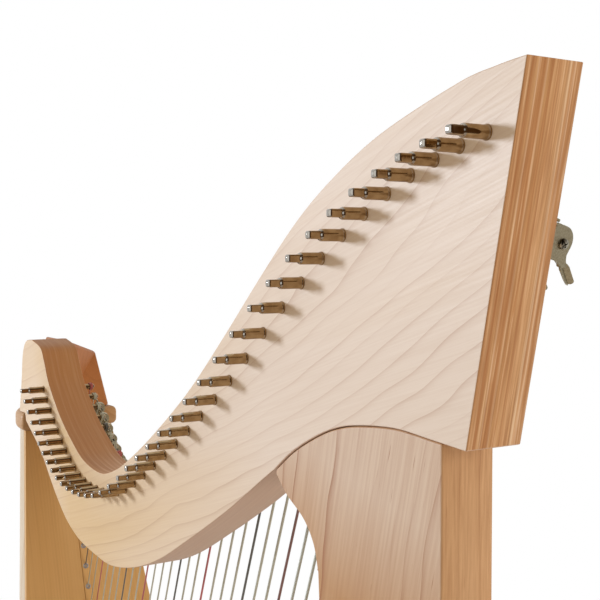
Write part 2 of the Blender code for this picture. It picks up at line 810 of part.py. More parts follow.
def make_base():
    middle_z = base_bottom_z + base_thick / 2
    base = add_object("base_board", slab_mesh("base_board", [base_outline()], base_thick),
                      Matrix.Translation((0, 0, middle_z)), maple)
    x = neck_far_x - neck_thick / 2
    shape = bmesh.new()
    rod(shape, place(x, pillar_bolt_y, base_bottom_z - 5 * MM),
        place(x, pillar_bolt_y, base_top_z + 5 * MM), pillar_bolt_radius + bore_clearance, 12)
    combine(base, add_object("base_bolt_bore", to_mesh(shape, "base_bolt_bore"), helper=True),
            "DIFFERENCE")
    shape = bmesh.new()
    rod(shape, place(x, pillar_bolt_y, base_bottom_z - 5 * MM),
        place(x, pillar_bolt_y, base_bottom_z + 2 * MM + bolt_head_high + seat_gap),
        bolt_head_radius + 2 * bore_clearance, 12)
    combine(base, add_object("base_counterbore", to_mesh(shape, "base_counterbore"), helper=True),
            "DIFFERENCE")


def make_feet():
    rear_x = foot_half_width - rear_foot_inset_x
    rear_foot_y = board_front_y + foot_depth - rear_foot_inset_y
    places = {"foot_front_left": (-front_foot_x, front_foot_y),
              "foot_front_right": (front_foot_x, front_foot_y),
              "foot_rear_left": (-rear_x, rear_foot_y),
              "foot_rear_right": (rear_x, rear_foot_y)}
    high = foot_high - seat_gap
    for name, (x, y) in places.items():
        shape = bmesh.new()
        bmesh.ops.create_cone(shape, cap_ends=True, segments=16, radius1=foot_radius - foot_taper,
                              radius2=foot_radius, depth=high,
                              matrix=Matrix.Translation(place(x, y, high / 2)))
        foot = add_object(name, to_mesh(shape, name), look=rubber)
        foot.data.shade_smooth()
        foot.data.set_sharp_from_angle(angle=math.radians(35))


make_neck()
make_tuning_pins()
make_levers()
make_strings()
make_soundboard()
make_shell()
make_braces()
make_cap()
make_head_block()
make_pillar()
make_pillar_bolt()
make_base()
make_feet()
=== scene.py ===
# %% [markdown]
# # A lever harp with 38 strings
# This lesson dresses the plain model of a lever harp. The model gives the sizes, the joints and
# the place of each piece, and the cells below give each piece its finer form and its finish.
# Lengths are in metres. +Z is up, -Y is the side of the pillar, and the strings lie at X = 0.

# %% Load the frame
import json
import math
from types import SimpleNamespace

import bmesh
import bpy
from mathutils import Matrix, Vector
from mathutils.geometry import delaunay_2d_cdt


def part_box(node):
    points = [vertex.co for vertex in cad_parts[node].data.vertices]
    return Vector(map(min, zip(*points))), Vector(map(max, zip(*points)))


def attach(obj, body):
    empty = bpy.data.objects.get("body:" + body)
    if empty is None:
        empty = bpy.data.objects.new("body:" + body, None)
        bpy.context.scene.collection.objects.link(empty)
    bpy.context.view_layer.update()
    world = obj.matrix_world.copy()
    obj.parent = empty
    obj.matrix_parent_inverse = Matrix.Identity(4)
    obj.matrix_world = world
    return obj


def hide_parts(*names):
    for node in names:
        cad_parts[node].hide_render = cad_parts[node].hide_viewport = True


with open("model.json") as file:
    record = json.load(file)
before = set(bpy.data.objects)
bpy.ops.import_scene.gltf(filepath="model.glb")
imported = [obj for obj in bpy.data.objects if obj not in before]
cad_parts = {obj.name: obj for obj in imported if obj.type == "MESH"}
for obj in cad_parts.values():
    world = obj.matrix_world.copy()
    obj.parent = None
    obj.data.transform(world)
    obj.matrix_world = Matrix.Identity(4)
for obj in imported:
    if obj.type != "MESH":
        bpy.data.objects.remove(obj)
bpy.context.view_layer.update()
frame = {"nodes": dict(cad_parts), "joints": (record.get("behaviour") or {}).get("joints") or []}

# %% [markdown]
# ## The camera
# The photograph is a close view of the neck, taken from the tuning-pin side at the height of the
# neck. A lens of 63.5 mm on a 36 mm sensor gives its perspective. The camera could be aimed with
# a constraint, but three direction vectors place it exactly and show what it looks at.

# %% Camera
MM = 0.001
NECK_FRONT = -61 * MM
# Outlines are drawn from the pillar's front face. The model's zero lies this far behind it.
MID_Y = NECK_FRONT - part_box("neck_core")[0].y
PHOTO_PX, FOCAL_PX, SENSOR_MM = 600, 1057.97, 36


def new_object(name, data):
    made = bpy.data.objects.new(name, data)
    bpy.context.scene.collection.objects.link(made)
    return made


def axes(x, y, z):
    """A turn that brings the three axes to these directions."""
    return Matrix((x, y, z)).transposed().to_4x4()


eye = Vector((-0.4113, -0.4262 - MID_Y, 1.250))
forward = Vector((0.5369, 0.8428, -0.0385)).normalized()
right = forward.cross(Vector((0, 0, 1))).normalized()
camera = new_object("camera", bpy.data.cameras.new("camera"))
camera.matrix_world = Matrix.Translation(eye) @ axes(right, right.cross(forward), -forward)
camera.data.sensor_width = SENSOR_MM
camera.data.lens = SENSOR_MM * FOCAL_PX / PHOTO_PX
camera.data.shift_y = -3 / PHOTO_PX
camera.data.clip_start = 0.01
bpy.context.scene.camera = camera
print("lens", round(camera.data.lens, 1), "mm at", [round(v, 3) for v in eye])

# %% [markdown]
# ## A plain studio
# The backdrop is white, so metal and clear strings show white as well as the camera does. That
# white is kept apart from the light on the wood: Light Path sends camera, glossy and
# transmission rays to a white of strength 1, and all other rays to a dimmer, warm light. Metal
# also needs something dark to mirror, so glossy rays find a brown room behind the camera, but
# for a bright window on the left, which puts a highlight on the ends of the tuning pins.
# One small function adds every node, with its settings and its links.

# %% The node helpers and the world
def hue(text):
    """An sRGB hex colour as linear RGBA."""
    parts = [int(text[i:i + 2], 16) / 255 for i in (1, 3, 5)]
    return [c / 12.92 if c <= 0.04045 else ((c + 0.055) / 1.055) ** 2.4 for c in parts] + [1]


def feed(tree, node, inputs):
    """Each input takes a value, a hex colour, a socket, or another node's first output."""
    for name, value in inputs.items():
        if isinstance(value, bpy.types.Node):
            value = value.outputs[0]
        if isinstance(value, bpy.types.NodeSocket):
            tree.links.new(value, node.inputs[name])
        else:
            node.inputs[name].default_value = hue(value) if isinstance(value, str) else value


def add(tree, kind, inputs=None, **settings):
    """Adds a shader node with its settings and feeds its inputs."""
    made = tree.nodes.new("ShaderNode" + kind)
    for name, value in settings.items():
        setattr(made, name, value)
    feed(tree, made, inputs or {})
    return made


WOOD_LIGHT = 0.47
world = bpy.data.worlds.new("white_studio")
bpy.context.scene.world = world
world.use_nodes = True
sky = world.node_tree
sky.nodes.clear()
rays = add(sky, "LightPath").outputs
clear = add(sky, "Math", {0: rays["Is Camera Ray"], 1: rays["Is Transmission Ray"]},
            operation="MAXIMUM")
seen = add(sky, "Math", {0: clear, 1: rays["Is Glossy Ray"]}, operation="MAXIMUM")
soft = add(sky, "Background", {"Color": "#ffe1bd", "Strength": WOOD_LIGHT})
look = add(sky, "TexCoord").outputs["Generated"]
ahead = add(sky, "VectorMath", {0: look, 1: (0.54, 0.84, 0)}, operation="DOT_PRODUCT")
room = add(sky, "MapRange", {0: ahead.outputs["Value"], 1: -0.45, 2: 0.2})
window = add(sky, "VectorMath", {0: look, 1: (-0.966, -0.24, 0.1)}, operation="DOT_PRODUCT")
window = add(sky, "MapRange", {0: window.outputs["Value"], 1: 0.64, 2: 0.8})
for bright in (window, clear):
    room = add(sky, "Math", {0: room, 1: bright}, operation="MAXIMUM")
room = add(sky, "MixRGB", {0: room, 1: "#5d432b", 2: "#ffffff"})
glint = add(sky, "Math", {0: window, 1: rays["Is Glossy Ray"]}, operation="MULTIPLY")
glint = add(sky, "Math", {0: glint, 1: 0.35, 2: 1.0}, operation="MULTIPLY_ADD")
white = add(sky, "Background", {"Color": room, "Strength": glint})
mixed = add(sky, "MixShader", {0: seen, 1: soft, 2: white})
add(sky, "OutputWorld", {"Surface": mixed})
print("world:", WOOD_LIGHT, "on the wood, 1 to the camera")

# %% [markdown]
# The key light stands on the side of the tuning pins, behind the player, a little above the
# neck. The pins' shadows on the neck run towards the pillar and slightly down, as in the
# photograph. It is a wide area lamp, so those shadows fade out as they get longer. A weaker,
# warm lamp in front of the pillar lifts the surfaces that face away from the key light.

# %% The lamps and the floor
LAMP_AIM, LAMP_DISTANCE = Vector((-0.03, 0.32 - MID_Y, 1.15)), 3.0


def area_lamp(name, direction, size, watts, tint):
    lamp = new_object(name, bpy.data.lights.new(name, "AREA"))
    lamp.data.size, lamp.data.energy, lamp.data.color = size, watts, hue(tint)[:3]
    lamp.location = LAMP_AIM + Vector(direction).normalized() * LAMP_DISTANCE
    lamp.rotation_euler = (lamp.location - LAMP_AIM).to_track_quat("Z", "Y").to_euler()
    return lamp


def new_material(name):
    """A new material, its node tree and its shader."""
    made = bpy.data.materials.new(name)
    made.use_nodes = True
    return made, made.node_tree, made.node_tree.nodes["Principled BSDF"]


area_lamp("key_light", (-0.763, 0.632, 0.13), 0.5, 61, "#e9f1ff")
fill = area_lamp("front_fill", (0.55, -0.8, 0.1), 1.8, 42, "#fff1e2")
fill.visible_glossy = False
bpy.context.scene.view_settings.view_transform = "Standard"
floor_mesh = bpy.data.meshes.new("studio_floor")
shape = bmesh.new()
bmesh.ops.create_circle(shape, cap_ends=True, segments=96, radius=2.0)
shape.to_mesh(floor_mesh)
shape.free()
floor = new_object("studio_floor", floor_mesh)
floor.location.z = -0.5 * MM
paper, tree, shader = new_material("white_paper_floor")
feed(tree, shader, {"Base Color": "#e8edf4", "Roughness": 0.9})
floor_mesh.materials.append(paper)
print("floor: a disc 4 m across")

# %% [markdown]
# ## Lacquered wood
# Most of the harp is maple under a thin satin lacquer. What the eye sees in maple is a pale,
# nearly white ground, soft growth rings that darken slowly and end in a thin brown line, and
# very fine fibre along the grain. A picture could give that, but it would not follow the
# pieces. So the grain is worked out in space: every point gets a distance along the grain,
# across it and into the wood, and the rings are cut from the distance across.

# %% A wood material
def wood(name, ground, warm, ring, along, across, spacing, wander, ring_depth, fleck_depth=0.0,
         fibre=1.1, sharp=5.0, bow=0.0, fade=None, hairs=0.16):
    """Sizes are in millimetres. ground, warm and ring are the wood's three colours.

    bow curves the lines, and fade gives two distances along the grain between which the wood
    goes from warm to ground. Two more distances there let the warmth begin late.
    """
    made, tree, shader = new_material(name)
    spot = add(tree, "TexCoord").outputs["Object"]
    into = Vector(along).cross(Vector(across))
    far, wide, deep = [
        add(tree, "VectorMath", {0: spot, 1: tuple(Vector(axis).normalized())},
            operation="DOT_PRODUCT").outputs["Value"] for axis in (along, across, into)]

    def stretched(along_mm, across_mm, detail=2.0):
        """Noise whose spots are this long and this wide."""
        parts = [add(tree, "Math", {0: axis, 1: 1 / (size * MM)}, operation="MULTIPLY")
                 for axis, size in ((far, along_mm), (wide, across_mm), (deep, across_mm))]
        spot = add(tree, "CombineXYZ", dict(enumerate(parts)))
        return add(tree, "TexNoise", {"Vector": spot, "Scale": 1.0, "Detail": detail,
                                      "Roughness": 0.55})

    level = wide
    for noise, swing in ((stretched(210, 75), 2 * wander * MM),
                         (stretched(62, 50, 1.0), 0.5 * wander * MM)):
        sway = add(tree, "Math", {0: noise, 1: swing, 2: -swing / 2}, operation="MULTIPLY_ADD")
        level = add(tree, "Math", {0: level, 1: sway}, operation="ADD")
    if bow:
        reach = add(tree, "Math", {0: far, 1: GRAIN_START}, operation="SUBTRACT")
        reach = add(tree, "Math", {0: reach, 1: reach}, operation="MULTIPLY")
        level = add(tree, "Math", {0: reach, 1: -bow, 2: level}, operation="MULTIPLY_ADD")
    drift = add(tree, "Math", {0: stretched(900, 45, 0.0), 1: 3.0}, operation="MULTIPLY")
    rings = add(tree, "Math", {0: level, 1: 1 / (spacing * MM), 2: drift},
                operation="MULTIPLY_ADD")
    lines = add(tree, "Math", {0: rings}, operation="FRACT")
    lines = add(tree, "Math", {0: lines, 1: sharp}, operation="POWER")
    year = add(tree, "Math", {0: rings}, operation="FLOOR")
    strong = add(tree, "TexWhiteNoise", {"W": year}, noise_dimensions="1D")
    strong = add(tree, "MapRange", {0: strong, 3: 0.12})
    faint = add(tree, "MapRange", {0: stretched(160, 40), 1: 0.35, 2: 0.65, 3: 0.4})
    for share in (strong, faint, ring_depth):
        lines = add(tree, "Math", {0: lines, 1: share}, operation="MULTIPLY")
    hair = stretched(70, fibre, 3.0)
    shade = add(tree, "MapRange", {0: hair, 1: 0.3, 2: 0.7, 4: hairs})
    tone = add(tree, "MapRange", {0: stretched(420, 60), 1: 0.3, 2: 0.7})
    if fade:
        ramp = add(tree, "MapRange", {0: far, 1: fade[0], 2: fade[1], 3: 0.85, 4: -0.1})
        if len(fade) > 2:
            start = add(tree, "MapRange", {0: far, 1: fade[2], 2: fade[3], 3: 0.4})
            ramp = add(tree, "Math", {0: ramp, 1: start}, operation="MULTIPLY")
        tone = add(tree, "Math", {0: tone, 1: 0.3, 2: ramp}, operation="MULTIPLY_ADD")
    layers = [(tone, warm), (lines, ring), (shade, ring)]
    if fleck_depth:
        flecks = {0: stretched(26, 1.6, 1.0), 1: 0.72, 2: 0.8, 4: fleck_depth}
        layers.append((add(tree, "MapRange", flecks), ring))
    tint = ground
    for amount, colour in layers:
        tint = add(tree, "MixRGB", {0: amount, 1: tint, 2: colour})
    gloss = add(tree, "MapRange", {0: hair, 1: 0.3, 2: 0.7, 3: 0.42, 4: 0.52})
    grain = add(tree, "Bump", {"Height": hair, "Strength": 0.12, "Distance": 0.25 * MM})
    feed(tree, shader, {"Base Color": tint, "Roughness": gloss, "Normal": grain,
                        "Specular IOR Level": 0.3, "Coat Weight": 0.04, "Coat Roughness": 0.3})
    return made


def leaning(degrees):
    """Up, but leaning to the pillar's side by this angle, and the direction square to that."""
    turn = math.radians(degrees)
    return (Vector((0, -math.sin(turn), math.cos(turn))),
            Vector((0, math.cos(turn), math.sin(turn))))


GRAIN_START = 0.15
BOARD_LEAN = 17.5
string_line, string_across = leaning(20.6)
board_up, board_in = leaning(-BOARD_LEAN)
neck_width, neck_back = leaning(-17)
straight = ((0, 0, 1), (0, 1, 0))

# The neck's face veneer is sliced maple under satin lacquer: pale, with thin growth lines.
face_maple = wood("satin_lacquered_maple_veneer", "#e9dccc", "#d9bd8e", "#a87a52",
                  -neck_back, neck_width, spacing=11.5, wander=10.0, ring_depth=0.55,
                  bow=0.22, fade=(0.12, 0.5, 0.04, 0.11), hairs=0.1, sharp=7.0)
# The pillar is solid quarter-sawn maple, a shade darker, with sparse brown streaks and flecks.
pillar_maple = wood("satin_lacquered_solid_maple", "#d9b894", "#cda275", "#8c5530",
                    (0, -0.05, 1), (0.93, 0.37, 0), spacing=9.0, wander=7.0, ring_depth=0.8,
                    fleck_depth=0.3, sharp=9.0, hairs=0.34, fibre=1.4)
# The pillar's sides are cut along the rings. Their grain leans as the strings do.
pillar_side_maple = wood("satin_lacquered_flat_sawn_maple", "#ddcab4", "#c09566", "#935224",
                         (0, -0.22, 0.975), (0, 0.975, 0.22), spacing=19.0, wander=15.0,
                         ring_depth=1.3, sharp=9.0, hairs=0.24, fibre=2.0, fade=(1.075, 1.15),
                         fleck_depth=0.65)
# The bent shell is maple as well, with upright grain. The base's grain runs front to back.
shell_maple = wood("bent_maple_staves", "#dad5c5", "#cdba9a", "#a77a4d", *straight,
                   spacing=17.0, wander=9.0, ring_depth=0.5)
base_maple = wood("oiled_maple_board", "#c2a17a", "#b48c61", "#8b5d38", (0, 1, 0), (1, 0, 0),
                  spacing=19.0, wander=14.0, ring_depth=0.6)
# The soundboard is split conifer wood: honey brown, with close straight lines.
sound_wood = wood("quarter_sawn_soundboard", "#dcb780", "#cfa66b", "#9c6b37", board_up,
                  (1, 0, 0), spacing=3.4, wander=1.6, ring_depth=0.3, sharp=2.5, fibre=0.9,
                  hairs=0.12)
# The head block and the inner braces are plain strips of a browner maple.
block_maple = wood("brown_maple_block", "#b77c4c", "#a66a3b", "#6e3f20", *straight,
                   spacing=9.0, wander=5.0, ring_depth=0.6)
print("materials so far:", len(bpy.data.materials))

# %% [markdown]
# ## The neck's laminated edge
# The neck is glued up from thin sheets, so its edge shows them as stripes that run all along the
# outline: red-brown sheets two to three millimetres thick with thin pale lines between them.
# The sheets lie at fixed distances through the neck, so the stripes need only the X coordinate.
# Noise that is long along the outline and short across it adds the cut fibres. Towards the
# treble the edge is painted darker and more even: painted shade, as that concave edge faces
# away from the key light. The faces that turn downwards are painted a paler, greyer pink, so
# their stripes nearly vanish: painted light, standing in for the floor's bounce on the underside.

# %% Laminated edge
neck_near, neck_far = -52 * MM, -14 * MM
sheets = [(0.0, "#c79c72"), (0.07, "#d6b089"), (0.10, "#bd8b60"), (0.19, "#d2ab81"),
          (0.215, "#e4c6a8"), (0.235, "#c99c72"), (0.33, "#c08f63"), (0.37, "#e4c4a3"),
          (0.385, "#cfa77b"), (0.47, "#c6966a"), (0.50, "#d6af85"), (0.58, "#cda177"),
          (0.64, "#dbb48c"), (0.74, "#d3ac83"), (0.80, "#ebd2b4"), (0.82, "#cfa176"),
          (0.88, "#e5c7a9"), (0.90, "#c5976c"), (1.0, "#c49d7a")]
neck_edge, tree, shader = new_material("laminated_hardwood_edge")
coords = add(tree, "TexCoord").outputs
place = add(tree, "SeparateXYZ", {0: coords["Object"]}).outputs
facing = add(tree, "SeparateXYZ", {0: coords["Normal"]}).outputs
drift = add(tree, "Mapping", {"Vector": coords["Object"], "Scale": (60, 9, 9)})
drift = add(tree, "TexNoise", {"Vector": drift, "Scale": 1.0, "Detail": 1.0})
through = add(tree, "Math", {0: drift, 1: 0.8 * MM, 2: place["X"]}, operation="MULTIPLY_ADD")
through = add(tree, "MapRange", {0: through, 1: neck_near + 1 * MM, 2: neck_far})
edge_tint = add(tree, "ValToRGB", {0: through})
stops = edge_tint.color_ramp.elements
for at, tone in sheets[1:-1]:
    stops.new(at)
for stop, (at, tone) in zip(stops, sheets):
    stop.position, stop.color = at, hue(tone)
fibre = add(tree, "Mapping", {"Vector": coords["Object"], "Scale": (900, 22, 22)})
fibre = add(tree, "TexNoise", {"Vector": fibre, "Scale": 1.0, "Detail": 4.0})
# Dark fibres, pale fibres, painted shade on the treble's edge, and painted light on the
# underside.
for source, none, full, share, tone in (
        (fibre, 0.38, 0.68, 0.62, "#99643b"), (fibre, 0.4, 0.3, 0.5, "#ead3b7"),
        (place["Y"], 0.09, 0.19, 0.82, "#ad7f56"), (facing["Z"], -0.3, -0.75, 0.8, "#d8c4b7")):
    amount = add(tree, "MapRange", {0: source, 1: none, 2: full, 4: share})
    edge_tint = add(tree, "MixRGB", {0: amount, 1: edge_tint, 2: tone})
bump = add(tree, "Bump", {"Height": fibre, "Strength": 0.15, "Distance": 0.3 * MM})
feed(tree, shader, {"Base Color": edge_tint, "Normal": bump, "Roughness": 0.5,
                    "Specular IOR Level": 0.3})
print("laminated edge:", len(sheets), "bands over", round((neck_far - neck_near) / MM), "mm")

# %% [markdown]
# ## Metal, nylon and rubber
# Tuning pins are turned steel with a nickel plate: a mirror-like surface, so it mostly shows the
# wood beside it. Their bodies are tinted golden brown, a painted reflection of the shaded wood
# around each pin, and only the shoulder and the end, which face outwards, keep a plain grey
# nickel. The levers are cast and tumbled, which leaves a dull grey nickel with a faint mottle.
# A metal keeps the shader's own index of refraction.

# %% Metals
def metal(name, tint, dark, roughness, grit, mottle=0.5, outward_tint=None):
    """A plated metal whose tint and roughness vary over spots of this grit, in millimetres.

    The last argument is the tint of the faces that look outwards from the neck; the other
    faces keep tint and dark, which on the tuning pins are a painted reflection of the shaded
    wood.
    """
    made, tree, shader = new_material(name)
    coords = add(tree, "TexCoord").outputs
    spots = add(tree, "TexNoise", {"Vector": coords["Object"], "Scale": 1 / (grit * MM),
                                   "Detail": 3.0})
    amount = add(tree, "MapRange", {0: spots, 1: 0.35, 2: 0.65, 4: mottle})
    tone = add(tree, "MixRGB", {0: amount, 1: tint, 2: dark})
    # Faces that look outwards get the plain metal's tint; on the pins the rest keeps a painted
    # reflection.
    if outward_tint:
        facing = add(tree, "SeparateXYZ", {0: coords["Normal"]})
        amount = add(tree, "MapRange", {0: facing.outputs["X"], 1: -0.2, 2: -0.5})
        tone = add(tree, "MixRGB", {0: amount, 1: tone, 2: outward_tint})
    rough = add(tree, "MapRange", {0: spots, 1: 0.3, 2: 0.7, 3: roughness * 0.8,
                                   4: roughness * 1.25})
    bump = add(tree, "Bump", {"Height": spots, "Strength": 0.2, "Distance": 0.05 * MM})
    feed(tree, shader, {"Base Color": tone, "Roughness": rough, "Normal": bump,
                        "Metallic": 1.0})
    return made


# The pins' golden brown tint is a painted reflection of the shaded wood beside them; the grey is
# plain nickel on the faces that look outwards.
pin_nickel = metal("polished_nickel_plate", "#a98f6a", "#7b5f3e", 0.08, 6.0, outward_tint="#a29d95")
lever_nickel = metal("tumbled_grey_nickel", "#b2aa90", "#978e74", 0.42, 0.9)
screw_steel = metal("bright_zinc_screw", "#c4c2ba", "#9b988e", 0.24, 1.5)
eyelet_zinc = metal("dull_zinc_eyelet", "#cbc7c4", "#a9a4a1", 0.5, 1.0)
# The pivot screws are painted near black with bright flecks: painted shade of the recess they sit
# in, and painted highlights.
pivot_black = metal("dark_screw_painted_shade_and_highlights", "#211e1a", "#d8d0bb", 0.3, 1.9, 0.75)
bridge_nickel = metal("nickel_bridge_pin", "#cfc8b6", "#b3aa95", 0.2, 2.0)

# %% [markdown]
# Gut and nylon strings are clear enough to glow a little, so part of the light goes through.
# Every C is red and every F is dark, which is how a player finds the notes. The lowest strings
# are wound with wire. Its pitch is under half a millimetre, too fine for this view, so the
# ridges are drawn 1.2 mm apart.

# %% String finishes
def gut(name, tint, dark, clear):
    made, tree, shader = new_material(name)
    spots = add(tree, "TexNoise", {"Vector": add(tree, "TexCoord").outputs["Object"],
                                   "Scale": 60.0, "Detail": 2.0})
    tone = add(tree, "MixRGB", {0: spots, 1: tint, 2: dark})
    feed(tree, shader, {"Base Color": tone, "Roughness": 0.3, "IOR": 1.53,
                        "Transmission Weight": clear})
    return made


plain_gut = gut("clear_nylon_string", "#d3d8cc", "#b7bbae", 0.25)
red_gut = gut("red_nylon_string", "#c9787c", "#ab5a60", 0.1)
red_wound = gut("red_wrapped_bass_string", "#8d6b67", "#6f5250", 0.0)
dark_gut = gut("dark_nylon_string", "#6e716f", "#565958", 0.05)
wound_wire, tree, shader = new_material("wire_wound_string")
WIRE_PITCH = 1.2 * MM
spot = add(tree, "TexCoord").outputs["Object"]
length_up = add(tree, "VectorMath", {0: spot, 1: tuple(string_line)}, operation="DOT_PRODUCT")
turns = add(tree, "Math", {0: length_up.outputs["Value"], 1: math.tau / WIRE_PITCH},
            operation="MULTIPLY")
ridge = add(tree, "Math", {0: turns}, operation="SINE")
# The colour follows the ridges, darker in each groove: painted shade between the turns of wire.
tone = add(tree, "MapRange", {0: ridge, 1: -1.0, 2: 1.0, 4: 0.7})
tone = add(tree, "MixRGB", {0: tone, 1: "#94978c", 2: "#d9ddd2"})
bump = add(tree, "Bump", {"Height": ridge, "Strength": 0.4, "Distance": 0.2 * MM})
feed(tree, shader, {"Base Color": tone, "Normal": bump, "Metallic": 0.35, "Roughness": 0.42})

# The feet are moulded black rubber, matt and finely pitted.
rubber, tree, shader = new_material("moulded_black_rubber")
spots = add(tree, "TexNoise", {"Vector": add(tree, "TexCoord").outputs["Object"],
                               "Scale": 900.0, "Detail": 3.0})
tone = add(tree, "MixRGB", {0: spots, 1: "#1d1c1b", 2: "#33312f"})
bump = add(tree, "Bump", {"Height": spots, "Strength": 0.3, "Distance": 0.1 * MM})
feed(tree, shader, {"Base Color": tone, "Normal": bump, "Roughness": 0.75})
print("string finishes:", plain_gut.name, red_gut.name, dark_gut.name, wound_wire.name)

# %% [markdown]
# ## Flat pieces with rounded edges
# Neck, pillar, cap, base and levers are all boards or sheets cut to an outline, with their
# edges eased by a router or a file. A Bevel modifier can do that, but on a long curved outline
# it also rounds what should stay crisp. Here each board is built from rings: the outline,
# moved in a little at each height, so the rounding has exactly the radius that is asked for.

# %% Outlines and rings
def smooth(points, steps):
    """A cubic curve through the given points."""
    ends = [points[0]] + list(points) + [points[-1]]
    found = []
    for a, b, c, d in zip(ends, ends[1:], ends[2:], ends[3:]):
        for step in range(steps):
            t = step / steps
            found.append(tuple(
                0.5 * (2 * q + (r - p) * t + (2 * p - 5 * q + 4 * r - s) * t * t
                       + (3 * q - p - 3 * r + s) * t ** 3)
                for p, q, r, s in zip(a, b, c, d)))
    return found + [tuple(points[-1])]


def arc(x, y, wide, deep, first, last, steps):
    """Points on an oval about x, y, from the first angle to the last, in degrees."""
    turns = [math.radians(first + (last - first) * i / steps) for i in range(steps + 1)]
    return [(x + wide * math.cos(turn), y + deep * math.sin(turn)) for turn in turns]


def eased(outline, radius, limit=25, steps=4):
    """The closed outline with each corner sharper than the limit cut by a short arc."""
    found = []
    for i, corner in enumerate(outline):
        here, before = Vector(corner), Vector(outline[i - 1])
        after = Vector(outline[(i + 1) % len(outline)])
        back, ahead = before - here, after - here
        if back.length < 1e-9 or ahead.length < 1e-9:
            continue
        if math.degrees(math.pi - back.angle(ahead)) < limit:
            found.append(corner)
            continue
        cut = min(radius, back.length * 0.45, ahead.length * 0.45)
        first, last = here + back.normalized() * cut, here + ahead.normalized() * cut
        for step in range(steps + 1):
            t = step / steps
            found.append(tuple(first.lerp(here, t).lerp(here.lerp(last, t), t)))
    return found


def inset(outline, gap):
    """The closed outline, which runs anticlockwise, moved inwards by the gap.

    Where a corner is tighter than the gap, its points would cross over, so they meet instead.
    """
    found = []
    for i, corner in enumerate(outline):
        before = (Vector(corner) - Vector(outline[i - 1])).normalized()
        after = (Vector(outline[(i + 1) % len(outline)]) - Vector(corner)).normalized()
        side = Vector((-(before + after).y, (before + after).x)).normalized()
        reach = max(0.5, side.dot(Vector((-before.y, before.x))))
        found.append(Vector(corner) + side * gap / reach)
    for _ in range(6):
        for i in range(len(found)):
            j = (i + 1) % len(found)
            if (found[j] - found[i]).dot(Vector(outline[j]) - Vector(outline[i])) < 0:
                found[i] = found[j] = (found[i] + found[j]) / 2
    return found


def rounded(low, high, low_radius, high_radius, steps=3):
    """(height, inset) rings from low to high, with a quarter round at each end."""
    turns = [math.pi / 2 * i / steps for i in range(steps + 1)]
    start, end = ([(level + way * radius * (1 - math.cos(t)), radius * (1 - math.sin(t)))
                   for t in turns] if radius else [(level, 0)]
                  for level, way, radius in ((low, 1, low_radius), (high, -1, high_radius)))
    return start + end[::-1]


def bridge(shape, loops):
    """Faces between each closed loop of corners and the next."""
    for low, high in zip(loops, loops[1:]):
        for i in range(len(low)):
            shape.faces.new((low[i - 1], low[i], high[i], high[i - 1]))


def board(shape, outline, rings, matrix=Matrix()):
    """Adds a closed board of the outline through the rings; local X and Y hold the outline."""
    # A clockwise outline has a negative area.
    if sum(a[0] * b[1] - b[0] * a[1] for a, b in zip(outline, outline[1:] + outline[:1])) < 0:
        outline = outline[::-1]
    flat = [inset(outline, gap) for height, gap in rings]
    loops = [[shape.verts.new(matrix @ Vector((*point, height))) for point in points]
             for points, (height, gap) in zip(flat, rings)]
    bridge(shape, loops)
    for loop, points, turn in ((loops[0], flat[0], -1), (loops[-1], flat[-1], 1)):
        spots, _, triangles = delaunay_2d_cdt(points, [], [list(range(len(points)))], 1, 1e-7)[:3]
        nearest = [min(range(len(points)), key=lambda k: (points[k] - spot).length)
                   for spot in spots]
        for triangle in triangles:
            corners = [loop[nearest[corner]] for corner in triangle]
            if len(set(corners)) == 3 and not shape.faces.get(corners):
                shape.faces.new(corners[::turn])


def finished(shape, name, limit=40):
    """The mesh, flat on its caps and smooth elsewhere, except over edges above the limit."""
    shape.normal_update()
    for face in shape.faces:
        face.smooth = len(face.verts) == 4
    for edge in shape.edges:
        edge.smooth = not (len(edge.link_faces) == 2
                           and edge.calc_face_angle(0) > math.radians(limit))
    mesh = bpy.data.meshes.new(name)
    shape.to_mesh(mesh)
    shape.free()
    return mesh


def cut_out(name, shape, tool, sharp, touching=False):
    """The shape's mesh with the tool's taken out, by a modifier that is applied at once.

    sharp is the angle above which an edge stays sharp, and touching says that the tool's own
    parts overlap.
    """
    blank, cutter = (new_object(name, finished(part, name)) for part in (shape, tool))
    cut = blank.modifiers.new("cut", "BOOLEAN")
    cut.object, cut.solver, cut.use_self = cutter, "EXACT", touching
    bpy.context.view_layer.update()
    mesh = bpy.data.meshes.new_from_object(
        blank.evaluated_get(bpy.context.evaluated_depsgraph_get()))
    for thing in (blank, cutter):
        bpy.data.objects.remove(thing, do_unlink=True)
    mesh.materials.clear()
    mesh.set_sharp_from_angle(angle=math.radians(sharp))
    return mesh


def put(name, data, finish, replaces=(), body="harp", at=None):
    """Places a mesh or a shape, which rides on its body and may stand for model nodes."""
    if isinstance(data, bmesh.types.BMesh):
        data = finished(data, name.removeprefix("visual_"))
    made = new_object(name, data)
    if at is not None:
        made.matrix_world = at
    data.materials.append(finish)
    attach(made, body)
    if replaces:
        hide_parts(*replaces)
    return made


side_on = axes((0, 1, 0), (0, 0, 1), (1, 0, 0))
print("rings of a 2 mm board:", rounded(0, 2, 0.5, 0.5))

# %% [markdown]
# ## The neck
# The neck is a laminated core with a sheet of maple on each side. It is cut to one outline, and
# only the outer edge of each sheet is rounded, so the glue line stays a fine straight line. The
# rounding cuts through the sheet, so it shows the edge's wood and frames the pale face.

